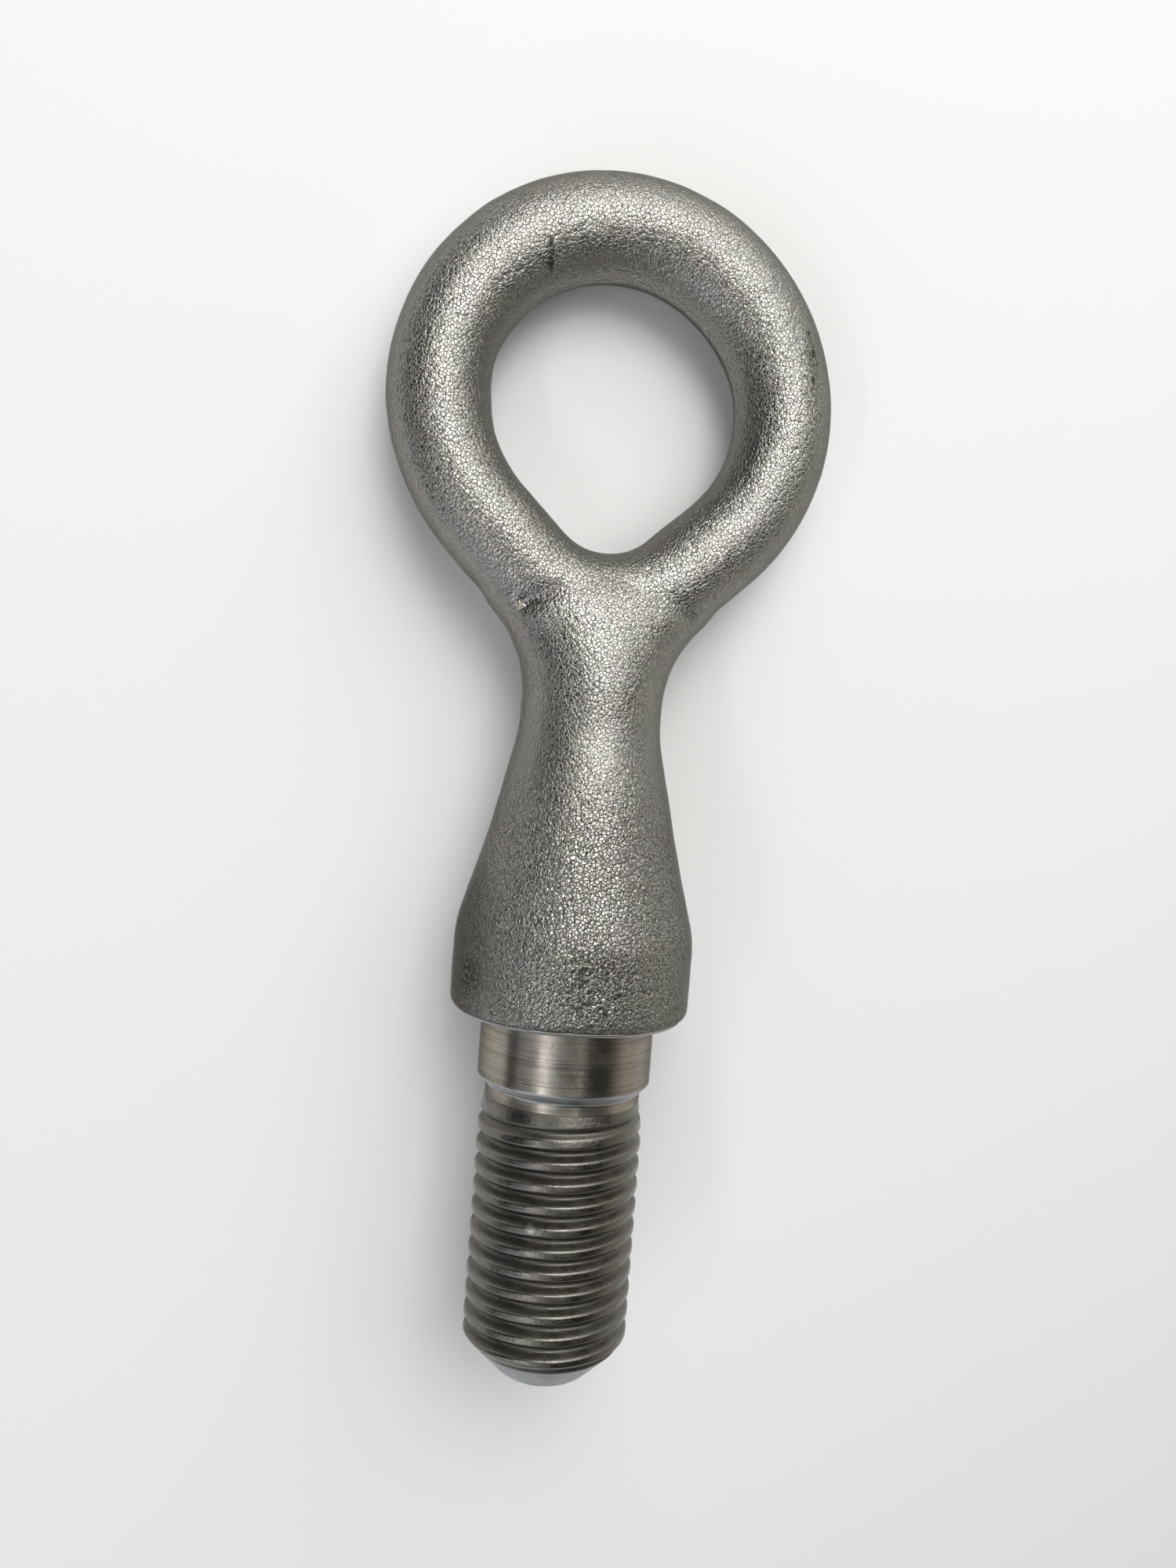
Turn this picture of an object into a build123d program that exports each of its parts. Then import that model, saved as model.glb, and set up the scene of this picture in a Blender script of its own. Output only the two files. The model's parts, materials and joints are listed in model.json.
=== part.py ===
from build123d import *
import math
import os

# Screw-in towing eye: one steel forging with a turned shank and a rolled thread.
# It is modelled upright, with Z along the screw axis, X across the ring and the
# underside of the shoulder at z = 0, then laid down as it comes to rest.
# Millimetres and degrees.

# Ring: a round bar bent to a teardrop
bar_diameter = 13.9
ring_radius = 24.7          # centre line of the round part
ring_height = 86.2          # shoulder underside to ring centre
limb_angle = 46.8           # straight limbs, measured from the screw axis
crotch_radius = 9.0         # bottom of the hole

# Fork: where the neck widens into both limbs
fork_radius = 17.0          # outside curve from neck to limb
fork_stand_out = 0.56       # how far that curve stands proud of the limbs
fork_sections = 4           # how many steps that curve is lofted in
fork_crown_depth = 11.4     # front to back where the fork sinks into the ring
fork_crown_inset = 0.9      # how far the crown's sides lie inside the limbs
fork_blend_radius = 3.0     # softened crease between fork and limbs

# Neck, bell and shoulder
neck_diameter = 19.9
neck_height = 43.2          # shoulder underside to where the bell has narrowed to the neck
bell_waist_radius = 30.0    # turn from neck to bell
bell_waist_angle = 11.3     # slope of the bell where that turn ends
shoulder_diameter = 33.9
shoulder_band = 12.2        # height of the straight band
band_corner_radius = 15.0   # soft turn from bell to band
rim_radius = 1.8            # forged lower rim
rim_turn = 60.0             # how far the rim turns in before the bevel
rim_bevel = 0.5             # turned bevel under the rim

# Turned shank
collar_diameter = 24.6
collar_length = 9.0
collar_chamfer_angle = 45.0
blank_diameter = 22.05
shank_length = 52.6         # shoulder underside to tip
tip_diameter = 10.6
tip_angle = 38.0            # side of the tip, measured from the axis
tip_edge_radius = 0.8

# Rolled thread, right-handed, with the basic metric profile
thread_diameter = 23.6
thread_pitch = 3.0
thread_flank_angle = 60.0   # between the two sides of a groove
thread_crest_share = 0.125  # flat crest and root, as shares of the pitch
thread_root_share = 0.25
thread_start = 11.8         # shoulder underside to where the thread begins to rise
thread_run_in = 4.7         # length over which it rises from the blank
groove_start = 16.25        # shoulder underside to the first full groove, on +X
groove_fade_turns = 1.5     # turns over which that groove fades out above it

bar_radius = bar_diameter / 2
neck_radius = neck_diameter / 2
shoulder_radius = shoulder_diameter / 2
collar_radius = collar_diameter / 2
blank_radius = blank_diameter / 2
thread_radius = thread_diameter / 2
tip_radius = tip_diameter / 2
limb = math.radians(limb_angle)
collar_end = collar_length + (collar_radius - blank_radius) / math.tan(math.radians(collar_chamfer_angle))

# The limbs run on into a second, smaller bend, which closes the teardrop
crotch_bend_radius = crotch_radius + bar_radius
crotch_bend_height = ring_height - (ring_radius - crotch_bend_radius) / math.sin(limb)
ring_foot = crotch_bend_height - crotch_bend_radius

# The crown of the fork ends inside the bar, between its centre line and the hole
crown_height = ring_foot + bar_radius / 2

# The fork starts where its outside curve comes to lie along the limbs
limb_line_foot = ring_height - (ring_radius + bar_radius) / math.sin(limb)
fork_end = neck_radius + fork_radius * (1 - math.cos(limb))
fork_end_height = limb_line_foot + fork_end / math.tan(limb) - fork_stand_out / math.sin(limb)
fork_start = fork_end_height - fork_radius * math.sin(limb)

# The sides of a groove set its depth, and its cutter passes the crests by half a crest's width
flank_slope = math.tan(math.radians(thread_flank_angle / 2))
thread_depth = thread_pitch * (1 - thread_crest_share - thread_root_share) / 2 / flank_slope
root_radius = thread_radius - thread_depth
crest_clearance = thread_pitch * thread_crest_share / 2


def make_ring():
    upper = CenterArc((0, ring_height), ring_radius, -limb_angle, 180 + 2 * limb_angle)
    lower = CenterArc((0, crotch_bend_height), crotch_bend_radius, 180 + limb_angle, 180 - 2 * limb_angle)
    path = Plane.XZ * Wire([upper, Line(upper @ 1, lower @ 0), lower, Line(lower @ 1, upper @ 0)])
    return sweep(Plane(path @ 0, z_dir=path % 0) * Circle(bar_radius), path)


def make_fork():
    # Ellipses that follow the outside curve up from the neck and sink into the ring at the crown
    crown_rise = crown_height - fork_start
    crown_half_width = (crown_height - limb_line_foot) * math.tan(limb) - fork_crown_inset
    crown_half_depth = fork_crown_depth / 2
    stations = []
    for step in range(fork_sections + 1):
        turn = limb * step / fork_sections
        stations.append((fork_radius * math.sin(turn), neck_radius + fork_radius * (1 - math.cos(turn))))
    stations.append((crown_rise, crown_half_width))
    sections = []
    for rise, half_width in stations:
        shrink = math.sqrt(1 - (rise / crown_rise) ** 2)
        half_depth = crown_half_depth + (neck_radius - crown_half_depth) * shrink
        sections.append(Pos(0, 0, fork_start + rise) * Ellipse(half_width, half_depth))
    return loft(sections)


def make_head():
    ring = make_ring()
    fork = make_fork()
    head = ring + fork
    return fillet(new_edges(ring, fork, combined=head), fork_blend_radius)


def make_bell_outline():
    # Half outline from the neck down to the shoulder's underside
    waist = JernArc((neck_radius, neck_height), (0, -1), bell_waist_radius, bell_waist_angle)
    bell = TangentArc(waist @ 1, (shoulder_radius, shoulder_band), tangent=waist % 1)
    rim_top = rim_bevel + rim_radius * math.sin(math.radians(rim_turn))
    band = Line(bell @ 1, (shoulder_radius, rim_top))
    rim = JernArc(band @ 1, (0, -1), rim_radius, -rim_turn)
    bevel = Line(rim @ 1, rim @ 1 - Vector(rim_bevel, rim_bevel))
    inside = Polyline(bevel @ 1, (0, 0), (0, neck_height), waist @ 0)
    outline = make_face([waist, bell, band, rim, bevel, *inside.edges()])
    corner = outline.vertices().sort_by_distance((shoulder_radius, shoulder_band))[0]
    return fillet(corner, band_corner_radius)


def make_collar():
    outline = Polyline(
        (0, 0),
        (collar_radius, 0),
        (collar_radius, -collar_length),
        (blank_radius, -collar_end),
        (0, -collar_end),
        close=True,
    )
    return revolve(Plane.XZ * make_face(outline), Axis.Z)


def make_thread_envelope():
    # Blank, run-in and tip turned to shape; between them it stands clear of the thread's crests
    clear_radius = thread_radius + crest_clearance
    run_in = thread_run_in * (clear_radius - blank_radius) / (thread_radius - blank_radius)
    tip_height = (clear_radius - tip_radius) / math.tan(math.radians(tip_angle))
    outline = make_face(
        Polyline(
            (0, -collar_end),
            (blank_radius, -collar_end),
            (blank_radius, -thread_start),
            (clear_radius, -thread_start - run_in),
            (clear_radius, tip_height - shank_length),
            (tip_radius, -shank_length),
            (0, -shank_length),
            close=True,
        )
    )
    tip_edge = outline.vertices().sort_by_distance((tip_radius, -shank_length))[0]
    return revolve(Plane.XZ * fillet(tip_edge, tip_edge_radius), Axis.Z)


def make_groove(height, path):
    # A groove that climbs along the path from the given height
    mouth_radius = thread_radius + crest_clearance
    half_root = thread_pitch * thread_root_share / 2
    half_mouth = half_root + (mouth_radius - root_radius) * flank_slope
    cutter = Polyline(
        (root_radius, -half_root),
        (root_radius, half_root),
        (mouth_radius, half_mouth),
        (mouth_radius, -half_mouth),
        close=True,
    )
    section = Pos(0, 0, height) * (Plane.XZ * make_face(cutter))
    return sweep(section, path, is_frenet=True)


def make_thread():
    # The groove is cut in a plain bar, turn by turn and then rising out of it, and the bar is
    # turned down to the envelope
    turns = math.ceil((shank_length - groove_start) / thread_pitch) + 1
    groove_bottom = -groove_start - turns * thread_pitch
    bar_length = thread_pitch - groove_bottom - collar_end
    bar = Cylinder(thread_radius, bar_length, align=(Align.CENTER, Align.CENTER, Align.MAX))
    bar = Pos(0, 0, -collar_end) * bar
    full_turns = [
        Helix(thread_pitch, thread_pitch, root_radius, center=(0, 0, groove_bottom + turn * thread_pitch))
        for turn in range(turns)
    ]
    fade_climb = groove_fade_turns * thread_pitch
    fade_angle = math.degrees(math.atan(thread_depth / fade_climb))
    fade = Helix(thread_pitch, fade_climb, root_radius, center=(0, 0, -groove_start), cone_angle=fade_angle)
    bar -= make_groove(groove_bottom, Wire(full_turns))
    bar -= make_groove(-groove_start, fade)
    return bar & make_thread_envelope()


def rest_tilt():
    # The forging lies on the shoulder's soft corner and on the far end of the ring. In side view
    # both are circles, and the floor is their common tangent.
    arcs = make_bell_outline().edges().filter_by(GeomType.CIRCLE)
    corner = arcs.sort_by(lambda arc: abs(arc.radius - band_corner_radius))[0].arc_center
    run = ring_height + ring_radius - corner.Y
    reach = math.hypot(run, corner.X)
    tilt = math.asin((band_corner_radius - bar_radius) / reach) + math.atan2(corner.X, run)
    return math.degrees(tilt)


def lay_down(upright):
    # Ring towards +Y, its front up, the lowest points on z = 0 and the outline centred on the origin
    lying = Rot(X=-90 - rest_tilt()) * upright
    box = lying.bounding_box()
    return Pos(-box.center().X, -box.center().Y, -box.min.Z) * lying


bell = revolve(Plane.XZ * make_bell_outline(), Axis.Z)
neck = Cylinder(neck_radius, fork_start, align=(Align.CENTER, Align.CENTER, Align.MIN))
shank = make_collar() + make_thread()
towing_eye = lay_down(make_head() + neck + bell + shank)

os.makedirs("parts", exist_ok=True)
export_step(towing_eye, "parts/towing_eye.step")
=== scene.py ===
import json
import math

import bpy
import numpy as np
from mathutils import Matrix, Vector


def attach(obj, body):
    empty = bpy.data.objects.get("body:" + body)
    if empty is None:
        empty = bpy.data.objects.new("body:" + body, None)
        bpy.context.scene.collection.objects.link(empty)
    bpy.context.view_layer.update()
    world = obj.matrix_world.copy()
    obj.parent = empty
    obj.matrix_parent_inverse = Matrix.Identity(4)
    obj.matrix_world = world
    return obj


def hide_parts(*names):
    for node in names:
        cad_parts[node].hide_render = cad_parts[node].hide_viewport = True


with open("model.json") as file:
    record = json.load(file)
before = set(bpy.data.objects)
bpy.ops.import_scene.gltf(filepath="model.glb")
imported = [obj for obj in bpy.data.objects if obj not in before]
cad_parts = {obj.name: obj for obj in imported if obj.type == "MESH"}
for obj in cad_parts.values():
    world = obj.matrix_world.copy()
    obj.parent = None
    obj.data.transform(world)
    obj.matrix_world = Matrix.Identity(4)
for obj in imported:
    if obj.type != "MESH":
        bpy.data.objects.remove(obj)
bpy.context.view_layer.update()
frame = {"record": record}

mm = 0.001
fullTurn = 2 * math.pi
tiny = 1e-9

# The mounts give the screw axis, the shoulder's underside and the ring's centre.
# Pieces are worked out in millimetres as x across, s along the axis from the shoulder
# towards the ring, and n out of the ring's upper face.
mounts = {mount["name"]: mount for mount in frame["record"]["mounts"]}
collarMount = mounts["pilot_collar"]
eyeMount = mounts["eye"]
ringward = -np.array(collarMount["axis"])
faceUp = np.array(eyeMount["axis"])
across = np.cross(ringward, faceUp)
axes = np.array([across, ringward, faceUp])
shoulder = np.array(collarMount["pos_m"]) + ringward * collarMount["dims"]["length_mm"] * mm / 2
ringCentre = float(np.dot(np.array(eyeMount["pos_m"]) - shoulder, ringward)) / mm
restTilt = math.atan2(-ringward[2], ringward[1])


def toFrame(points):
    return shoulder + mm * points @ axes


def fromFrame(points):
    return (points - shoulder) @ axes.T / mm


def smoothStep(low, high, value):
    share = np.clip((value - low) / (high - low), 0, 1)
    return share * share * (3 - 2 * share)


def evenTurns(count):
    return np.linspace(0, fullTurn, count, endpoint=False)


# A lattice point's random height is a hash of its whole-number place and a seed
latticeHash = {
    "primes": np.array([73856093, 19349663, 83492791]),
    "seedStep": 57,
    "shift": 13,
    "factor": 1274126177,
    "modulus": 2147483647,
    "levels": 65536,
}


# Value noise: random heights on a lattice, joined by smooth steps, from -1 to 1
def latticeNoise(points, size, seed):
    h = latticeHash
    place = points / size
    cell = np.floor(place).astype(np.int64)
    share = smoothStep(0, 1, place - cell)
    total = np.zeros(len(points))
    for corner in np.ndindex(2, 2, 2):
        key = (cell + corner + seed * h["seedStep"]) * h["primes"]
        mixed = key[:, 0] ^ key[:, 1] ^ key[:, 2]
        mixed = (mixed ^ (mixed >> h["shift"])) * h["factor"] % h["modulus"]
        weight = np.where(corner, share, 1 - share).prod(axis=1)
        total += weight * (mixed % h["levels"]) / (h["levels"] / 2)
    return total - 1


# A grid of points, rows by columns, closed round its columns, with a pole at each end.
# Its faces point outwards where the rows run towards the ring, and are turned where they run away.
def closedGrid(rings, firstPole, lastPole, turned=False):
    rows, columns = rings.shape[:2]
    points = np.vstack([rings.reshape(-1, 3), firstPole, lastPole])
    start = np.arange(rows * columns).reshape(rows, columns)
    after = np.roll(start, -1, axis=1)
    quads = np.stack([start[:-1], after[:-1], after[1:], start[1:]], axis=-1).reshape(-1, 4)
    first = np.full(columns, rows * columns)
    last = first + 1
    head = np.stack([first, after[0], start[0]], axis=-1)
    tail = np.stack([last, start[-1], after[-1]], axis=-1)
    order = -1 if turned else 1
    return points, [face for part in (quads, head, tail) for face in part[:, ::order].tolist()]


def newPiece(name, points, faces):
    mesh = bpy.data.meshes.new(name)
    mesh.from_pydata(points.tolist(), [], faces)
    mesh.validate()
    mesh.shade_smooth()
    piece = bpy.data.objects.new(name, mesh)
    bpy.context.scene.collection.objects.link(piece)
    return piece


def readPoints(mesh):
    points = np.empty(len(mesh.vertices) * 3)
    mesh.vertices.foreach_get("co", points)
    return points.reshape(-1, 3)


def standFor(piece):
    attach(piece, "root")
    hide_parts("towing_eye")


# Forging: ring, fork, neck, bell and shoulder
forging = {
    "barRadius": 6.95,
    "ringRadius": 24.7,
    "limbAngle": math.radians(46.8),
    "crotchRadius": 9.0,
    "topExtra": 0.8,            # the far end of the ring is thicker by this, towards the hole
    "topRise": (0.1, 0.95),     # coming in between these sines of the angle above the ring's centre
    "forkRadius": 17.0,
    "crownHalfDepth": 5.7,
    "crownInset": 0.9,
    "crownRound": 0.75,         # 0.5 is a dome, 1 a flatter run up to the hole
    "creaseBlend": 3.2,
    "creaseFade": 8.0,          # the blend fades out from this far below the crown
    "creaseEnd": 0.6,           # to this far past it
    "creaseAtCrown": 0.02,      # share of the blend that is left there
    "creaseAtSide": 0.05,       # and at mid depth
    "neckRadius": 9.95,
    "neckHeight": 43.2,
    "forkStart": 44.0,
    "waistRadius": 30.0,
    "waistAngle": math.radians(11.3),
    "shoulderRadius": 16.95,
    "bandHeight": 12.2,
    "bandCorner": 15.0,
    "rimRadius": 1.8,
    "rimTurn": math.radians(60.0),
    "rimBevel": 0.5,
    "voxel": 0.43,
    "slides": 4,                # how often the remeshed skin is drawn onto the true form
    "slideLimit": 1.0,
    "waves": ((14.0, 0.10), (5.0, 0.05), (1.9, 0.022), (1.1, 0.018)),  # wave length and height
    "flashHeight": 0.2,
    "flashWidth": 0.45,
    "flashRise": (20.0, 46.0),  # the flash line comes in between these heights
    "flashWave": 6.0,           # wave length of its uneven height
    "flashSeed": 21,
    "flashMean": 0.6,
    "flashSwing": 0.5,
    # Folds where a limb's ridge ends on the front: one end, other end (across, along), width, depth
    "folds": (
        ((-11.4, 56.9), (-7.0, 58.9), 1.0, 1.0),
        ((11.6, 56.7), (7.5, 58.6), 1.3, 0.35),
    ),
    "foldFade": 0.7,            # a fold is shallower at its other end by this share
    "foldFront": 2.0,           # and is whole from this far in front of mid depth
}
bendRadius = forging["crotchRadius"] + forging["barRadius"]
bendCentre = ringCentre - (forging["ringRadius"] - bendRadius) / math.sin(forging["limbAngle"])
crownHeight = bendCentre - bendRadius + forging["barRadius"] / 2
crownRise = crownHeight - forging["forkStart"]


# Arc from one angle to another, as points of radius and height
def arcPoints(centre, radius, start, end, count=24):
    turn = np.linspace(start, end, count)
    return np.stack([centre[0] + radius * np.cos(turn), centre[1] + radius * np.sin(turn)], axis=-1)


# Half outline of bell and shoulder: waist arc, near-straight flank, soft corner, band, rolled rim.
# The flank is an arc through one middle point, which stands off its chord by chord x angle / 8.
def bellOutline():
    f = forging
    waist = arcPoints(
        (f["neckRadius"] + f["waistRadius"], f["neckHeight"]), f["waistRadius"],
        math.pi, math.pi + f["waistAngle"],
    )
    foot = waist[-1]
    edge = np.array([f["shoulderRadius"], f["bandHeight"]])
    chord = math.atan2(edge[0] - foot[0], foot[1] - edge[1])
    slope = 2 * chord - f["waistAngle"]
    reach = f["bandCorner"] * math.tan(slope / 2)
    cornerTop = edge + reach * np.array([-math.sin(slope), math.cos(slope)])
    corner = arcPoints(
        (f["shoulderRadius"] - f["bandCorner"], edge[1] - reach), f["bandCorner"], slope, 0.0,
    )
    sag = np.hypot(*(cornerTop - foot)) * (slope - f["waistAngle"]) / 8
    middle = (foot + cornerTop) / 2 + sag * np.array([-math.cos(chord), -math.sin(chord)])
    rimTop = f["rimBevel"] + f["rimRadius"] * math.sin(f["rimTurn"])
    rim = arcPoints((f["shoulderRadius"] - f["rimRadius"], rimTop), f["rimRadius"], 0.0, -math.pi / 2)
    return np.vstack([waist, middle, corner, rim])


outline = bellOutline()[::-1]
forgingFoot = outline[0, 1]


# Half width and half depth of the body at each height: round up to the neck, then ellipses whose
# sides follow an arc out to the limbs while their depth sinks to the crown
def bodyHalves(s):
    f = forging
    radius = np.interp(s, outline[:, 1], outline[:, 0])
    rise = np.clip(s - f["forkStart"], 0, crownRise)
    arcRise = f["forkRadius"] * math.sin(f["limbAngle"])
    arcWidth = f["forkRadius"] * (1 - math.cos(f["limbAngle"]))
    onArc = f["forkRadius"] - np.sqrt(f["forkRadius"] ** 2 - np.clip(rise, 0, arcRise) ** 2)
    limbFoot = ringCentre - (f["ringRadius"] + f["barRadius"]) / math.sin(f["limbAngle"])
    crownWidth = (crownHeight - limbFoot) * math.tan(f["limbAngle"]) - f["crownInset"]
    spread = (crownWidth - f["neckRadius"] - arcWidth) / (crownRise - arcRise)
    width = radius + onArc + spread * np.clip(rise - arcRise, 0, None)
    shrink = (1 - (rise / crownRise) ** 2) ** f["crownRound"]
    sunk = f["crownHalfDepth"] + (f["neckRadius"] - f["crownHalfDepth"]) * shrink
    return width, np.where(rise > 0, sunk, radius)


# Distance to the body's side, to its foot or to its crown, whichever is the most
def bodyDistance(x, s, n):
    width, depth = bodyHalves(s)
    reach = np.maximum(np.hypot(x, n), tiny)
    share = np.maximum(np.hypot(x / width, n / depth), tiny)
    side = reach * (1 - 1 / share)
    return np.maximum(np.maximum(side, forgingFoot - s), s - crownHeight)


# Distance to the teardrop's centre line (two arcs joined by straight limbs), less the bar's radius
def ringDistance(x, s, n):
    f = forging
    side = np.abs(x)
    up = s - ringCentre
    low = s - bendCentre
    alongX, alongS = math.sin(f["limbAngle"]), math.cos(f["limbAngle"])
    thicker = f["topExtra"] / 2 * smoothStep(*f["topRise"], up / np.hypot(side, up))
    upper = np.abs(np.hypot(side, up) - f["ringRadius"] + thicker)
    lower = np.abs(np.hypot(side, low) - bendRadius)
    limb = np.abs(side * alongS - up * alongX - f["ringRadius"])
    line = np.where(side * alongX + up * alongS > 0, upper, limb)
    line = np.where(side * alongX + low * alongS < 0, lower, line)
    line = line * f["barRadius"] / (f["barRadius"] + thicker)
    return np.hypot(line, n) - f["barRadius"]


# The lesser of two values, with a soft turn where they are within a width of each other
def softMin(a, b, width):
    share = np.clip(width - np.abs(a - b), 0, None) / width
    return np.minimum(a, b) - share * share * width / 4


# Both forms in one, with a soft crease on the faces and none at the sides, where they run together
def forgingDistance(points):
    f = forging
    x, s, n = points.T
    onFace = np.clip(np.abs(n) / f["barRadius"], f["creaseAtSide"], 1)
    faded = smoothStep(crownHeight - f["creaseFade"], crownHeight + f["creaseEnd"], s)
    blend = f["creaseBlend"] * onFace * np.clip(1 - faded, f["creaseAtCrown"], 1)
    return softMin(ringDistance(x, s, n), bodyDistance(x, s, n), blend)


# Direction in which the distance grows, from its differences over a short step
def forgingSlope(points, step=0.02):
    slope = np.empty_like(points)
    for axis in range(3):
        shift = np.zeros(3)
        shift[axis] = step
        slope[:, axis] = forgingDistance(points + shift) - forgingDistance(points - shift)
    return slope / np.maximum(np.linalg.norm(slope, axis=1, keepdims=True), tiny)


# Base of the ring: a round bar carried along the teardrop, whose line is given as a distance from
# the ring's centre at each angle
def ringRows(rows=260, columns=40):
    f = forging
    turn = evenTurns(rows)[:, None] + math.pi / 2
    around = evenTurns(columns)[None, :]
    drop = bendCentre - ringCentre
    onBend = drop * np.sin(turn) + np.sqrt(bendRadius ** 2 - (drop * np.cos(turn)) ** 2)
    bendEndX = bendRadius * math.cos(f["limbAngle"])
    bendEndS = drop - bendRadius * math.sin(f["limbAngle"])
    bendEdge = math.atan2(bendEndS, bendEndX)
    lift = np.arctan2(np.sin(turn), np.abs(np.cos(turn)))
    steepest = -1.2  # keeps the limb's line finite below the bend
    onLimb = f["ringRadius"] / np.cos(np.clip(lift + f["limbAngle"], steepest, 0))
    reach = np.where(lift < bendEdge, onBend, onLimb)
    out = reach + f["barRadius"] * np.cos(around)
    x = out * np.cos(turn)
    s = ringCentre + out * np.sin(turn)
    n = np.broadcast_to(f["barRadius"] * np.sin(around), x.shape)
    points = np.stack([x, s, n], axis=-1).reshape(-1, 3)
    start = np.arange(rows * columns).reshape(rows, columns)
    beside = np.roll(start, -1, axis=1)
    ahead = np.roll(start, -1, axis=0)
    corner = np.roll(beside, -1, axis=0)
    quads = np.stack([start, ahead, corner, beside], axis=-1).reshape(-1, 4)
    return points, quads.tolist()


# Base of the body: ellipses stacked from the shoulder to the crown
def bodyRows(rows=160, columns=96):
    s = np.linspace(forgingFoot, crownHeight, rows)[:, None]
    around = evenTurns(columns)[None, :]
    width, depth = bodyHalves(s)
    height = np.broadcast_to(s, (rows, columns))
    rings = np.stack([width * np.cos(around), height, -depth * np.sin(around)], axis=-1)
    return closedGrid(rings, (0, forgingFoot, 0), (0, crownHeight, 0))


# Dent along a straight line on the front, with soft sides, deepest at its first end
def foldDepth(points, start, end, width, depth):
    start, end = np.array(start), np.array(end)
    run = end - start
    share = np.clip((points[:, :2] - start) @ run / (run @ run), 0, 1)
    away = np.linalg.norm(points[:, :2] - start - share[:, None] * run, axis=1)
    fading = 1 - forging["foldFade"] * share
    onFront = smoothStep(0, forging["foldFront"], points[:, 2])
    return depth * fading * np.exp(-(away / width) ** 2) * onFront


# Height of the skin over the true form: waves of several lengths, a ridge at mid depth, and folds
def skinHeight(points):
    f = forging
    height = np.zeros(len(points))
    for seed, (size, tall) in enumerate(f["waves"]):
        height += tall * latticeNoise(points, size, seed)
    ridge = np.exp(-(points[:, 2] / f["flashWidth"]) ** 2) * smoothStep(*f["flashRise"], points[:, 1])
    uneven = f["flashMean"] + f["flashSwing"] * latticeNoise(points, f["flashWave"], f["flashSeed"])
    height += f["flashHeight"] * ridge * uneven
    for start, end, width, depth in f["folds"]:
        height -= foldDepth(points, start, end, width, depth)
    return height


# Ring and body are remeshed to one skin, whose points slide down the slope of the distance onto the
# true form
def makeForging():
    f = forging
    ringPoints, ringFaces = ringRows()
    bodyPoints, bodyFaces = bodyRows()
    shifted = [[corner + len(ringPoints) for corner in face] for face in bodyFaces]
    blank = newPiece("forgingBlank", toFrame(np.vstack([ringPoints, bodyPoints])), ringFaces + shifted)
    remesh = blank.modifiers.new("oneSkin", "REMESH")
    remesh.mode = "VOXEL"
    remesh.voxel_size = f["voxel"] * mm
    depsgraph = bpy.context.evaluated_depsgraph_get()
    mesh = bpy.data.meshes.new_from_object(blank.evaluated_get(depsgraph))
    bpy.data.objects.remove(blank)
    points = fromFrame(readPoints(mesh))
    for _ in range(f["slides"]):
        away = np.clip(forgingDistance(points), -f["slideLimit"], f["slideLimit"])
        points -= away[:, None] * forgingSlope(points)
    placed = toFrame(points + forgingSlope(points) * skinHeight(points)[:, None])
    placed[:, 2] = np.maximum(placed[:, 2], 0)  # nothing dips into the floor
    mesh.vertices.foreach_set("co", placed.ravel())
    mesh.name = "forging"
    mesh.shade_smooth()
    mesh.update()
    mesh.materials.append(makeForgedSkin())
    piece = bpy.data.objects.new("forging", mesh)
    bpy.context.scene.collection.objects.link(piece)
    standFor(piece)
    return piece


# Shank: turned collar and blank, rolled thread and tip
shank = {
    "collarRadius": collarMount["dims"]["r_mm"],
    "collarLength": collarMount["dims"]["length_mm"],
    "blankRadius": 11.025,
    "threadRadius": 11.8,
    "pitch": 3.0,
    "grooveStart": 16.25,
    "threadStart": 11.8,
    "runIn": 4.7,
    "fadeReach": 0.6,           # the groove fades in from this far before the thread's start
    "depth": 1.3,
    "rootShare": 0.2,
    "crestShare": 0.32,
    "rounding": 0.28,           # width of the soft turns at crests and roots, as a share of the depth
    "runInBlend": 0.25,         # soft turns between run-in and thread
    "coneBlend": 0.35,          # and between thread and tip cone
    "length": 51.9,
    "tipRadius": 5.8,
    "tipAngle": math.radians(45.0),
    "tipEdge": 1.7,
    "tipSteps": 8,              # points on the tip's rounded edge
    "tipHeight": 4.3,           # end of the tip below the last of the thread
    "endRadius": 0.725,         # last row on the tip's end, round its pole
    "bevelProud": 0.03,
    "edge": 0.28,               # rounding of turned edges
    "lipWidth": 0.2,            # the bevel's upper edge turns in under the rim by this
    "lipHeight": 0.3,
    "hiddenWidth": 3.0,         # and closes inside the forging, this far in
    "hiddenHeight": 1.0,        # and this far above the bevel
    "slant": 0.3,               # rows of the turned head that slope more than this are bevel or chamfer
    "columns": 216,
    "rowStep": 0.1,
}
shankZones = {"turned": 0, "thread": 1, "clean": 2}  # places of the shank's three materials
hiddenTop = forging["rimBevel"] + shank["hiddenHeight"]
threadEnd = shank["length"] - shank["tipHeight"]


# Height within the thread from 0 at the root to 1 at the crest: a trapezoid wave along the axis
# that climbs one pitch a turn, with rounded corners
def threadHeight(s, turn):
    k = shank
    lead = (s + k["grooveStart"]) / k["pitch"] - turn / fullTurn
    fromGroove = np.abs(lead - np.round(lead))
    flank = 0.5 - (k["rootShare"] + k["crestShare"]) / 2
    rise = (fromGroove - k["rootShare"] / 2) / flank
    capped = softMin(rise, 1, k["rounding"])
    return -softMin(-capped, 0, k["rounding"])


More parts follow.
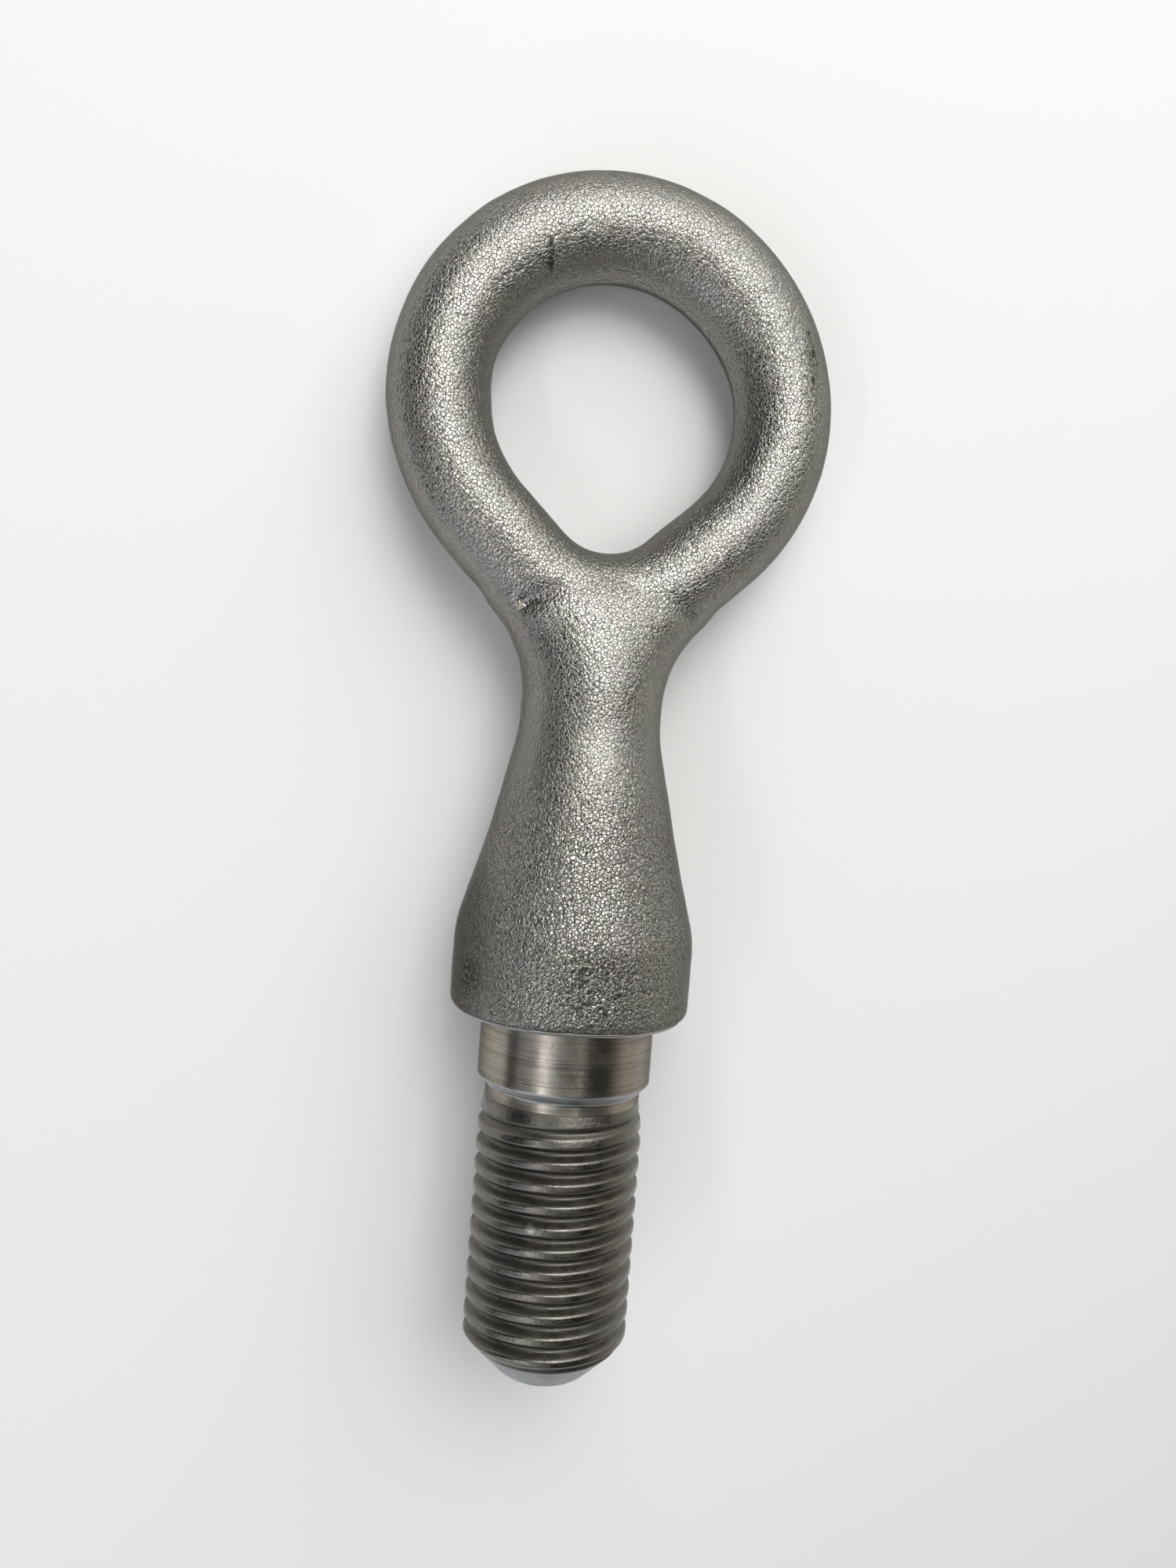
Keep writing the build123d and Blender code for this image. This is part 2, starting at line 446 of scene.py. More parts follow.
# Radius of the shank below the blank: run-in cone, thread, tip cone
def threadRadius(s, turn):
    k = shank
    rise = np.clip((-s - k["threadStart"]) / k["runIn"], 0, 1)
    runIn = k["blankRadius"] + (k["threadRadius"] - k["blankRadius"]) * rise
    wound = k["pitch"] * (turn / fullTurn - 0.5) - s
    faded = smoothStep(k["threadStart"] - k["fadeReach"], k["grooveStart"] + k["fadeReach"], wound)
    thread = k["threadRadius"] - k["depth"] * (1 - threadHeight(s, turn)) * faded
    cone = k["tipRadius"] + (k["length"] + s) * math.tan(k["tipAngle"])
    return softMin(softMin(runIn, thread, k["runInBlend"]), cone, k["coneBlend"])


# A profile of radius and height, with each inner corner cut by a short round, a parabola that takes
# at most one part in perSide of the sides it joins
def roundedProfile(corners, radius, count=4, perSide=2.2):
    corners = np.array(corners, dtype=float)
    share = np.linspace(0, 1, count)[:, None]
    rows = [corners[:1]]
    for before, corner, after in zip(corners[:-2], corners[1:-1], corners[2:]):
        lengthBefore = np.hypot(*(before - corner))
        lengthAfter = np.hypot(*(after - corner))
        reach = min(radius, lengthBefore / perSide, lengthAfter / perSide)
        start = corner + reach * (before - corner) / lengthBefore
        end = corner + reach * (after - corner) / lengthAfter
        rows.append((1 - share) ** 2 * start + 2 * share * (1 - share) * corner + share ** 2 * end)
    rows.append(corners[-1:])
    return np.vstack(rows)


# Turned head: hidden start, bevel, shoulder's face, collar, chamfer, blank
def headProfile():
    k = shank
    f = forging
    bevelTop = f["shoulderRadius"] - f["rimRadius"] * (1 - math.cos(f["rimTurn"])) + k["bevelProud"]
    chamfer = k["collarRadius"] - k["blankRadius"]
    return roundedProfile([
        (bevelTop - k["hiddenWidth"], hiddenTop),
        (bevelTop - k["lipWidth"], f["rimBevel"] + k["lipHeight"]),
        (bevelTop, f["rimBevel"]),
        (bevelTop - f["rimBevel"], 0.0),
        (k["collarRadius"], 0.0),
        (k["collarRadius"], -k["collarLength"]),
        (k["blankRadius"], -k["collarLength"] - chamfer),
        (k["blankRadius"], -k["threadStart"] + k["rowStep"]),
    ], k["edge"])


def tipProfile():
    k = shank
    return roundedProfile([
        (k["tipRadius"] + k["tipHeight"] * math.tan(k["tipAngle"]), -threadEnd),
        (k["tipRadius"], -k["length"]),
        (k["endRadius"], -k["length"]),
    ], k["tipEdge"], k["tipSteps"])


# Material of each face, row by row and then both poles. Bevel and chamfer are as clean as the tip.
def zoneOfFaces(head, threadRows, tipRows):
    zone = np.full(len(head) + threadRows + tipRows - 1, shankZones["clean"])
    zone[:len(head) + threadRows] = shankZones["thread"]
    zone[:len(head) - 1] = shankZones["turned"]
    steps = np.abs(np.diff(head, axis=0))
    slanted = steps.min(axis=1) > shank["slant"] * steps.max(axis=1)
    middle = (head[:-1, 1] + head[1:, 1]) / 2
    zone[np.flatnonzero(slanted & (middle < forging["rimBevel"]))] = shankZones["clean"]
    poles = [shankZones["turned"], shankZones["clean"]]
    return np.repeat(np.concatenate([zone, poles]), shank["columns"]).astype(np.int32)


# Rows of radius and height round the axis: turned head, thread, tip, closed inside the forging.
# The thread's height is kept as an attribute, for its material.
def makeShank():
    k = shank
    turn = evenTurns(k["columns"])[None, :]
    flat = 0 * turn
    head = headProfile()
    tip = tipProfile()
    threadS = -np.arange(k["threadStart"], threadEnd, k["rowStep"])[:, None] + flat
    threadTurn = turn + 0 * threadS
    radius = np.vstack([head[:, :1] + flat, threadRadius(threadS, threadTurn), tip[:, :1] + flat])
    s = np.vstack([head[:, 1:] + flat, threadS, tip[:, 1:] + flat])
    rings = np.stack([radius * np.cos(turn), s, -radius * np.sin(turn)], axis=-1)
    points, faces = closedGrid(rings, (0, hiddenTop, 0), (0, -k["length"], 0), turned=True)
    piece = newPiece("shank", toFrame(points), faces)
    crest = np.ones(len(points))
    first = len(head) * k["columns"]
    crest[first:first + threadS.size] = threadHeight(threadS, threadTurn).ravel()
    piece.data.attributes.new("crest", "FLOAT", "POINT").data.foreach_set("value", crest)
    piece.data.materials.append(makeTurned("turnedSteel", turnedSteel))
    piece.data.materials.append(makeRolledThread())
    piece.data.materials.append(makeTurned("turnedTip", turnedTip))
    piece.data.polygons.foreach_set("material_index", zoneOfFaces(head, len(threadS), len(tip)))
    standFor(piece)
    return piece


# Shader nodes: a node with its inputs set or linked, and short forms of the common ones
def addNode(tree, kind, values=None, **settings):
    made = tree.nodes.new(kind)
    for name, value in settings.items():
        setattr(made, name, value)
    for name, value in (values or {}).items():
        if isinstance(value, bpy.types.NodeSocket):
            tree.links.new(value, made.inputs[name])
        else:
            made.inputs[name].default_value = value
    return made


def calc(tree, operation, first, second=0.0):
    return addNode(tree, "ShaderNodeMath", {0: first, 1: second}, operation=operation).outputs[0]


def vectorCalc(tree, operation, first, second=(0, 0, 0), output="Vector"):
    made = addNode(tree, "ShaderNodeVectorMath", {0: first, 1: second}, operation=operation)
    return made.outputs[output]


def scaleVector(tree, vector, scale):
    made = addNode(tree, "ShaderNodeVectorMath", {0: vector, "Scale": scale}, operation="SCALE")
    return made.outputs["Vector"]


def ease(tree, value, low, high, toLow=0.0, toHigh=1.0):
    values = {"Value": value, "From Min": low, "From Max": high, "To Min": toLow, "To Max": toHigh}
    return addNode(tree, "ShaderNodeMapRange", values, interpolation_type="SMOOTHSTEP").outputs["Result"]


def mixColour(tree, factor, first, second, blend="MIX"):
    return addNode(
        tree, "ShaderNodeMix", {0: factor, 6: first, 7: second}, data_type="RGBA", blend_type=blend,
    ).outputs[2]


def noise(tree, vector, scale, detail=2.0, roughness=0.5):
    values = {"Vector": vector, "Scale": scale, "Detail": detail, "Roughness": roughness}
    return addNode(tree, "ShaderNodeTexNoise", values).outputs


def cells(tree, vector, feature):
    values = {"Vector": vector, "Scale": 1.0}
    return addNode(tree, "ShaderNodeTexVoronoi", values, feature=feature).outputs


def newGroup(name, inputs, outputs):
    group = bpy.data.node_groups.new(name, "ShaderNodeTree")
    for label, kind, value in inputs:
        group.interface.new_socket(label, in_out="INPUT", socket_type=kind).default_value = value
    for label, kind in outputs:
        group.interface.new_socket(label, in_out="OUTPUT", socket_type=kind)
    return group, group.nodes.new("NodeGroupInput").outputs, group.nodes.new("NodeGroupOutput").inputs


def useGroup(tree, group, values=None):
    return addNode(tree, "ShaderNodeGroup", values, node_tree=group).outputs


# Place on the eye in millimetres: across, along the axis from the shoulder, out of the ring's face
def makeAxisPlace():
    group, _, outputs = newGroup("axisPlace", (), (("Place", "NodeSocketVector"),))
    here = addNode(group, "ShaderNodeTexCoord").outputs["Object"]
    start = vectorCalc(group, "SUBTRACT", here, tuple(shoulder))
    turning = {"Vector": start, "Angle": restTilt, "Axis": (1, 0, 0)}
    turned = addNode(group, "ShaderNodeVectorRotate", turning).outputs[0]
    group.links.new(scaleVector(group, turned, 1 / mm), outputs["Place"])
    return group


pebbles = {
    "swayScale": 0.9,           # how closely the cells are bent out of line
    "fineScale": 2.3,
    "wrinkleWidth": 0.15,
    "paintedRecessShade": (0.5, 0.34),      # fine noise that counts as a recess with painted shade, from none to all
}


# Crinkled skin: small pebbles, domed and each leaning its own way, with thin wrinkles between them, and
# a mask of the wrinkles and low places where shade is painted
def makeGrain():
    group, inputs, outputs = newGroup(
        "crinkledGrain",
        (
            ("Place", "NodeSocketVector", (0, 0, 0)),
            ("Size", "NodeSocketFloat", 0.6),
            ("Lean", "NodeSocketFloat", 0.45),
            ("Fine", "NodeSocketFloat", 0.12),
            ("Groove", "NodeSocketFloat", 0.06),
            ("Dome", "NodeSocketFloat", 0.25),
        ),
        (("Height", "NodeSocketFloat"), ("PaintedShade", "NodeSocketFloat")),
    )
    place = scaleVector(group, inputs["Place"], calc(group, "DIVIDE", 1.0, inputs["Size"]))
    sway = noise(group, place, pebbles["swayScale"], detail=1.0)["Color"]
    moved = vectorCalc(group, "ADD", sway, place)
    facet = cells(group, moved, "F1")
    border = cells(group, moved, "DISTANCE_TO_EDGE")["Distance"]
    way = vectorCalc(group, "SUBTRACT", facet["Color"], (0.5, 0.5, 0.5))
    offset = vectorCalc(group, "SUBTRACT", moved, facet["Position"])
    tilt = vectorCalc(group, "DOT_PRODUCT", way, offset, "Value")
    fine = noise(group, place, pebbles["fineScale"], roughness=0.6)["Fac"]
    dome = calc(group, "POWER", facet["Distance"], 2.0)
    wrinkle = ease(group, border, 0.0, pebbles["wrinkleWidth"], 1.0, 0.0)
    height = calc(group, "MULTIPLY", tilt, inputs["Lean"])
    height = calc(group, "ADD", height, calc(group, "MULTIPLY", fine, inputs["Fine"]))
    height = calc(group, "SUBTRACT", height, calc(group, "MULTIPLY", wrinkle, inputs["Groove"]))
    height = calc(group, "SUBTRACT", height, calc(group, "MULTIPLY", dome, inputs["Dome"]))
    group.links.new(calc(group, "MULTIPLY", height, inputs["Size"]), outputs["Height"])
    # Mask for painted shade: the wrinkles and the low places of the fine noise
    paintedRecessShade = calc(group, "MAXIMUM", wrinkle, ease(group, fine, *pebbles["paintedRecessShade"]))
    group.links.new(paintedRecessShade, outputs["PaintedShade"])
    return group


tintForm = {
    "patchScale": 0.11,
    "fleckScale": 0.55,
    "lift": (0.5, 0.5, 0.5, 1),  # brings the mean of the drift to about 1
}


# Colour that drifts a little to yellow, pink and blue, in patches and in flecks
def makePlatingTint():
    group, inputs, outputs = newGroup(
        "platingTint",
        (
            ("Place", "NodeSocketVector", (0, 0, 0)),
            ("Colour", "NodeSocketColor", (0.3, 0.3, 0.3, 1)),
            ("Amount", "NodeSocketFloat", 0.3),
        ),
        (("Colour", "NodeSocketColor"),),
    )
    patches = noise(group, inputs["Place"], tintForm["patchScale"])["Color"]
    flecks = noise(group, inputs["Place"], tintForm["fleckScale"])["Color"]
    drift = mixColour(group, 0.5, patches, flecks)
    lifted = mixColour(group, 1.0, drift, tintForm["lift"], "ADD")
    tinted = mixColour(group, 1.0, inputs["Colour"], lifted, "MULTIPLY")
    group.links.new(mixColour(group, inputs["Amount"], inputs["Colour"], tinted), outputs["Colour"])
    return group


speckForm = {
    "clusterScale": 0.16,
    "clustering": 0.3,          # how much a cluster adds to the dots in it
    "bareLimit": 0.9,           # dots show above this level with no cover
    "coverReach": 0.25,         # full cover lowers the level by this
    "softEdge": 0.05,
}


# Dark specks: small dots that come in clusters
def makeSpecks():
    k = speckForm
    group, inputs, outputs = newGroup(
        "darkSpecks",
        (
            ("Place", "NodeSocketVector", (0, 0, 0)),
            ("Size", "NodeSocketFloat", 0.5),
            ("Cover", "NodeSocketFloat", 0.3),
        ),
        (("Mask", "NodeSocketFloat"),),
    )
    scale = calc(group, "DIVIDE", 1.0, inputs["Size"])
    dots = noise(group, inputs["Place"], scale, detail=3.0, roughness=0.65)["Fac"]
    clusters = noise(group, inputs["Place"], k["clusterScale"])["Fac"]
    level = calc(group, "ADD", dots, calc(group, "MULTIPLY", clusters, k["clustering"]))
    lowered = calc(group, "MULTIPLY", inputs["Cover"], k["coverReach"])
    limit = calc(group, "SUBTRACT", k["bareLimit"], lowered)
    mask = ease(group, calc(group, "SUBTRACT", level, limit), 0.0, k["softEdge"])
    group.links.new(mask, outputs["Mask"])
    return group


# Turning lines: rings round the axis, counted along it and out from it, so that cones and end faces
# have them too, and uneven round it
def makeLatheLines(uneven=0.05):
    group, inputs, outputs = newGroup(
        "latheLines",
        (("Place", "NodeSocketVector", (0, 0, 0)), ("Pitch", "NodeSocketFloat", 0.2)),
        (("Height", "NodeSocketFloat"),),
    )
    here = addNode(group, "ShaderNodeSeparateXYZ", {0: inputs["Place"]}).outputs
    flat = vectorCalc(group, "MULTIPLY", inputs["Place"], (1, 0, 1))
    away = vectorCalc(group, "LENGTH", flat, output="Value")
    along = calc(group, "DIVIDE", calc(group, "ADD", here["Y"], away), inputs["Pitch"])
    rings = addNode(group, "ShaderNodeCombineXYZ", {
        0: calc(group, "MULTIPLY", here["X"], uneven),
        1: along,
        2: calc(group, "MULTIPLY", here["Z"], uneven),
    }).outputs[0]
    lines = noise(group, rings, 1.0, detail=3.0, roughness=0.7)["Fac"]
    group.links.new(lines, outputs["Height"])
    return group


axisPlace = makeAxisPlace()
crinkledGrain = makeGrain()
platingTint = makePlatingTint()
darkSpecks = makeSpecks()
latheLines = makeLatheLines()


def newMaterial(name, metallic=1.0):
    material = bpy.data.materials.new(name)
    material.use_nodes = True
    shader = material.node_tree.nodes["Principled BSDF"]
    shader.inputs["Metallic"].default_value = metallic
    return material, material.node_tree, shader


def addBump(tree, shader, height, depth):
    bump = addNode(tree, "ShaderNodeBump", {"Height": height, "Distance": depth * mm, "Strength": 1.0})
    tree.links.new(bump.outputs["Normal"], shader.inputs["Normal"])


def tintedColour(tree, place, colour, amount):
    return useGroup(tree, platingTint, {"Place": place, "Colour": colour, "Amount": amount})["Colour"]


def specksMask(tree, place, specks):
    return useGroup(tree, darkSpecks, {"Place": place, **specks})["Mask"]


# A soft spot: an ellipsoid that is whole within its core and gone at its half sizes
def spotMask(tree, place, centre, halves, strength, core=0.3):
    share = vectorCalc(tree, "DIVIDE", vectorCalc(tree, "SUBTRACT", place, centre), halves)
    return ease(tree, vectorCalc(tree, "LENGTH", share, output="Value"), core, 1.0, strength, 0.0)


forgedSkin = {
    "colour": (0.36, 0.351, 0.326, 1),
    "edgeTint": (0.38, 0.38, 0.37, 1),
    "dark": (0.027, 0.023, 0.017, 1),
    "bellToFork": (24.0, 46.0),  # heights between which one grain gives way to the next
    "forkToRing": (56.0, 68.0),
    # Grain of ring, fork and bell, and how dark the shade painted into its recesses is
    "ringGrain": ({"Size": 0.47, "Lean": 0.14, "Fine": 0.1, "Groove": 0.04, "Dome": 0.125}, 0.32),
    "forkGrain": ({"Size": 0.47, "Lean": 0.12, "Fine": 0.08, "Groove": 0.045, "Dome": 0.12}, 0.32),
    "bellGrain": ({"Size": 0.5, "Lean": 0.18, "Fine": 0.15, "Groove": 0.065, "Dome": 0.19}, 0.6),
    "grainDepth": 1.0,          # grain heights are in millimetres already
    "roughScale": 0.35,
    "rough": (0.3, 0.7, 0.19, 0.265),  # noise from and to, roughness from and to
    "tint": 0.2,
    "flashHeight": 0.12,        # raised line left by the dies, round the outside
    "flashWidth": 0.28,
    "flashEdge": 2.0,           # it comes in over this far outside the ring's centre line
    "flashGapScale": 0.5,
    "flashGaps": (0.42, 0.52),  # noise between gap and line
    "specks": {"Size": 0.4, "Cover": 0.22},
    "pits": {"Size": 0.5, "Cover": 0.95},
    "dirtDark": 0.9,
    "dirtRough": 0.25,
    # Pitted places: centre as across, along, out; half sizes; strength
    "stains": (
        ((0.3, 6.5, 16.4), (7.0, 8.5, 6.0), 0.9),
        ((-15.2, 6.0, 7.0), (3.0, 4.0, 4.0), 0.7),
        ((-11.3, 103.4, 5.4), (1.0, 2.6, 3.0), 1.0),
        ((26.2, 93.0, 6.4), (2.2, 6.5, 3.0), 0.7),
        ((7.7, 108.0, 6.7), (1.6, 1.4, 2.0), 0.7),
        ((-9.0, 109.0, 6.0), (2.0, 2.0, 2.0), 0.6),
    ),
    # Painted shade with some grime on the bell's left flank, darkening that side: centre, half sizes,
    # strength
    "grime": ((-15.5, 9.0, 4.0), (7.0, 17.0, 11.0), 0.5),
    # Small dark marks: centre, half sizes
    "marks": (
        ((-11.6, 104.7, 6.2), (0.5, 1.1, 2.0)),
        ((-11.2, 102.4, 4.9), (0.55, 1.3, 2.0)),
        ((26.4, 95.2, 6.3), (0.5, 0.9, 2.0)),
        ((26.6, 91.4, 6.4), (0.45, 0.8, 2.0)),
        ((25.5, 97.9, 6.2), (0.45, 0.5, 2.0)),
        ((1.6, 3.6, 16.9), (0.6, 0.5, 2.0)),
        ((3.4, 6.0, 16.6), (0.7, 0.45, 2.0)),
        ((-1.4, 9.2, 16.9), (0.6, 0.5, 2.0)),
    ),
    "markStrength": 0.95,
}


# Grain of ring, fork and bell, each faded out into the next, as height and the shade painted into its
# recesses
def skinGrain(tree, place, aboveBell, onRing):
    onFork = calc(tree, "SUBTRACT", aboveBell, onRing)
    onBell = calc(tree, "SUBTRACT", 1.0, aboveBell)
    height, paintedRecessShade = 0.0, 0.0
    for zone, share in (("ringGrain", onRing), ("forkGrain", onFork), ("bellGrain", onBell)):
        grain, recessShadeStrength = forgedSkin[zone]
        skin = useGroup(tree, crinkledGrain, {"Place": place, **grain})
        recessShadeShare = calc(tree, "MULTIPLY", share, recessShadeStrength)
        height = calc(tree, "ADD", height, calc(tree, "MULTIPLY", skin["Height"], share))
        paintedRecessShade = calc(tree, "ADD", paintedRecessShade, calc(tree, "MULTIPLY", skin["PaintedShade"], recessShadeShare))
    return height, paintedRecessShade


# The flash line follows the outside at mid depth and is broken here and there
def flashLine(tree, place, here, aboveBell):
    k = forgedSkin
    fromCentre = vectorCalc(tree, "DISTANCE", place, (0, ringCentre, 0), "Value")
    outside = ease(tree, fromCentre, forging["ringRadius"], forging["ringRadius"] + k["flashEdge"])
    broken = ease(tree, noise(tree, place, k["flashGapScale"], detail=1.0)["Fac"], *k["flashGaps"])
    flash = ease(tree, calc(tree, "ABSOLUTE", here["Z"]), 0.0, k["flashWidth"], k["flashHeight"], 0.0)
    for share in (outside, broken, aboveBell):
        flash = calc(tree, "MULTIPLY", flash, share)
    return flash


# Dirt: specks all over, pits in the stained places, and the small marks
def skinDirt(tree, place):
    k = forgedSkin
    stained = 0.0
    for stain in k["stains"]:
        stained = calc(tree, "MAXIMUM", stained, spotMask(tree, place, *stain))
    pits = calc(tree, "MULTIPLY", specksMask(tree, place, k["pits"]), stained)
    dirt = calc(tree, "MAXIMUM", specksMask(tree, place, k["specks"]), pits)
    for mark in k["marks"]:
        dirt = calc(tree, "MAXIMUM", dirt, spotMask(tree, place, *mark, k["markStrength"]))
    return dirt


def makeForgedSkin():
    k = forgedSkin
    material, tree, shader = newMaterial("forgedSkin")
    shader.inputs["Specular Tint"].default_value = k["edgeTint"]
    place = useGroup(tree, axisPlace)["Place"]
    here = addNode(tree, "ShaderNodeSeparateXYZ", {0: place}).outputs
    aboveBell = ease(tree, here["Y"], *k["bellToFork"])
    onRing = ease(tree, here["Y"], *k["forkToRing"])
    height, paintedRecessShade = skinGrain(tree, place, aboveBell, onRing)
    height = calc(tree, "ADD", height, flashLine(tree, place, here, aboveBell))
    dirt = skinDirt(tree, place)
    colour = tintedColour(tree, place, k["colour"], k["tint"])
    # Painted shade in the grain's wrinkles and recesses
    colour = mixColour(tree, paintedRecessShade, colour, k["dark"])
    # Painted shade with some grime, darkening the bell's left flank
    colour = mixColour(tree, spotMask(tree, place, *k["grime"]), colour, k["dark"])
    colour = mixColour(tree, calc(tree, "MULTIPLY", dirt, k["dirtDark"]), colour, k["dark"])
    tree.links.new(colour, shader.inputs["Base Color"])
    rough = ease(tree, noise(tree, place, k["roughScale"])["Fac"], *k["rough"])
    rough = calc(tree, "ADD", rough, calc(tree, "MULTIPLY", dirt, k["dirtRough"]))
    tree.links.new(rough, shader.inputs["Roughness"])
    addBump(tree, shader, height, k["grainDepth"])
    return material


# Turned steel of collar and blank, and the cleaner steel of tip, bevel and chamfer
turnedSteel = {
    "colour": (0.385, 0.35, 0.3, 1),
    "edgeTint": (0.4, 0.4, 0.4, 1),
    "dark": (0.045, 0.04, 0.034, 1),
    "tint": 0.3,
    "linePitch": 0.21,
    "lineDepth": 0.016,
    "lineShadeStrength": 0.42,
    "specks": {"Size": 0.6, "Cover": 0.25},
    "speckDark": 0.6,
    "smearScale": 0.3,
    "rough": (0.3, 0.75, 0.22, 0.33),  # smear from and to, roughness from and to
}
turnedTip = {
    "colour": (0.42, 0.428, 0.44, 1),
    "edgeTint": (1, 1, 1, 1),
    "dark": (0.06, 0.055, 0.05, 1),
    "tint": 0.3,
    "linePitch": 0.5,
    "lineDepth": 0.03,
    "lineShadeStrength": 0.4,
    "specks": {"Size": 0.5, "Cover": 0.42},
    "speckDark": 0.7,
    "smearScale": 0.4,
    "rough": (0.3, 0.7, 0.4, 0.52),
}
shadedLineFloors = (0.55, 0.35)       # heights of the turning lines that get painted shade in their floors, from none to all


# Bare metal with turning lines, with painted shade in their floors, and a few specks
def makeTurned(name, k):
    material, tree, shader = newMaterial(name)
    shader.inputs["Specular Tint"].default_value = k["edgeTint"]
    place = useGroup(tree, axisPlace)["Place"]
    lines = useGroup(tree, latheLines, {"Place": place, "Pitch": k["linePitch"]})["Height"]
    paintedLineShade = ease(tree, lines, *shadedLineFloors, 0.0, k["lineShadeStrength"])
    inSpecks = calc(tree, "MULTIPLY", specksMask(tree, place, k["specks"]), k["speckDark"])
    colour = tintedColour(tree, place, k["colour"], k["tint"])
    # Painted shade in the floors of the turning lines
    colour = mixColour(tree, paintedLineShade, colour, k["dark"])
    colour = mixColour(tree, inSpecks, colour, k["dark"])
    tree.links.new(colour, shader.inputs["Base Color"])
    smear = noise(tree, place, k["smearScale"], detail=3.0)["Fac"]
    tree.links.new(ease(tree, smear, *k["rough"]), shader.inputs["Roughness"])
    addBump(tree, shader, lines, k["lineDepth"])
    return material


rolledThread = {
    "colour": (0.155, 0.147, 0.13, 1),
    # lighter colour on the crests: a painted highlight
    "crest": (0.175, 0.167, 0.148, 1),
    "dark": (0.03, 0.027, 0.022, 1),
    "bare": (0.42, 0.41, 0.38, 1),
    "tint": 0.25,
    "crestFrom": 0.55,          # height in the thread, from 0 to 1, above which it is a crest
    "rootFrom": 0.25,           # and below which it is a root
    # how dark the shade painted into the roots is
    "rootShadeStrength": 0.3,
    "specks": {"Size": 0.4, "Cover": 0.45},
    "speckDark": 0.5,
    "nick": ((-4.9, -27.3, 10.2), (0.75, 0.9, 2.0), 0.8),  # a bare spot: centre, half sizes, strength
    "grimeScale": 0.45,
    "rough": (0.3, 0.7, 0.34, 0.5),  # grime from and to, roughness from and to
    "rubbedFrom": 0.6,          # crests are rubbed smoother above this height
    "rubbed": -0.12,
    "skinScale": 2.2,
    "skinDepth": 0.05,
}


def makeRolledThread():
    k = rolledThread
    material, tree, shader = newMaterial("rolledThread")
    place = useGroup(tree, axisPlace)["Place"]
    crest = addNode(tree, "ShaderNodeAttribute", attribute_name="crest").outputs["Fac"]
    # Painted shade in the thread's roots
    paintedRootShade = ease(tree, crest, k["rootFrom"], 0.0, 0.0, k["rootShadeStrength"])
    inSpecks = calc(tree, "MULTIPLY", specksMask(tree, place, k["specks"]), k["speckDark"])
    # Painted highlight: a lighter colour towards the crests
    colour = mixColour(tree, ease(tree, crest, k["crestFrom"], 1.0), k["colour"], k["crest"])
    colour = tintedColour(tree, place, colour, k["tint"])
    colour = mixColour(tree, paintedRootShade, colour, k["dark"])
    colour = mixColour(tree, inSpecks, colour, k["dark"])
    colour = mixColour(tree, spotMask(tree, place, *k["nick"]), colour, k["bare"])
    tree.links.new(colour, shader.inputs["Base Color"])
    grime = noise(tree, place, k["grimeScale"], detail=4.0, roughness=0.6)["Fac"]
    rubbed = ease(tree, crest, k["rubbedFrom"], 1.0, 0.0, k["rubbed"])
    rough = calc(tree, "ADD", ease(tree, grime, *k["rough"]), rubbed)
    tree.links.new(rough, shader.inputs["Roughness"])
    skin = noise(tree, place, k["skinScale"], detail=4.0, roughness=0.6)["Fac"]
    addBump(tree, shader, skin, k["skinDepth"])
    return material


# Stage: camera, floor, lights
view = {
    "place": (-0.03378, 0.02304, 0.18545),
    "forward": (0.1943, -0.1295, -0.9724),
    "up": (-0.0692, 0.9870, -0.1453),
    "lens": 28.35,
    "sensor": 36.0,
    "nearest": 0.005,
}
back = -Vector(view["forward"]).normalized()
right = Vector(view["up"]).cross(back).normalized()
upward = back.cross(right)


# Place and turn of a camera or lamp, which looks against its third axis
def standAt(place, xAxis, yAxis, zAxis):
    turn = Matrix((xAxis, yAxis, zAxis)).transposed().to_4x4()
    return Matrix.Translation(place) @ turn


def addCamera():
    data = bpy.data.cameras.new("camera")
    data.sensor_fit = "VERTICAL"
    data.sensor_height = view["sensor"]
    data.lens = view["lens"]
    data.clip_start = view["nearest"]
    camera = bpy.data.objects.new("camera", data)
    camera.matrix_world = standAt(view["place"], right, upward, back)
    bpy.context.scene.collection.objects.link(camera)
    bpy.context.scene.camera = camera


# Floor: a flat disc, as points on a circle, in metres
paleFloor = {
    "radius": 0.6,
    "points": 96,
    "colour": (0.86, 0.86, 0.855, 1),
    "roughness": 0.9,
}


def addFloor():
    k = paleFloor
    turn = evenTurns(k["points"])
    edge = np.stack([k["radius"] * np.cos(turn), k["radius"] * np.sin(turn), 0 * turn], axis=-1)
    mesh = bpy.data.meshes.new("floor")
    mesh.from_pydata(edge.tolist(), [], [tuple(range(k["points"]))])
    floor = bpy.data.objects.new("floor", mesh)
    bpy.context.scene.collection.objects.link(floor)
    material, _, shader = newMaterial("paleFloor", metallic=0.0)
    shader.inputs["Base Color"].default_value = k["colour"]
    shader.inputs["Roughness"].default_value = k["roughness"]
    shader.inputs["Specular IOR Level"].default_value = 0.0
    mesh.materials.append(material)


# Room light: dim overhead, paler towards the horizon and to the right of the view
room = {
    "overhead": (0.035, 0.035, 0.037, 1),
    "left": (0.07, 0.072, 0.08, 1),
    "right": (0.6, 0.58, 0.53, 1),
    "leftToRight": (-0.5, 0.7),  # shares of a direction that lie to the right
    "lowToHigh": (0.15, 0.65),   # and upwards
}


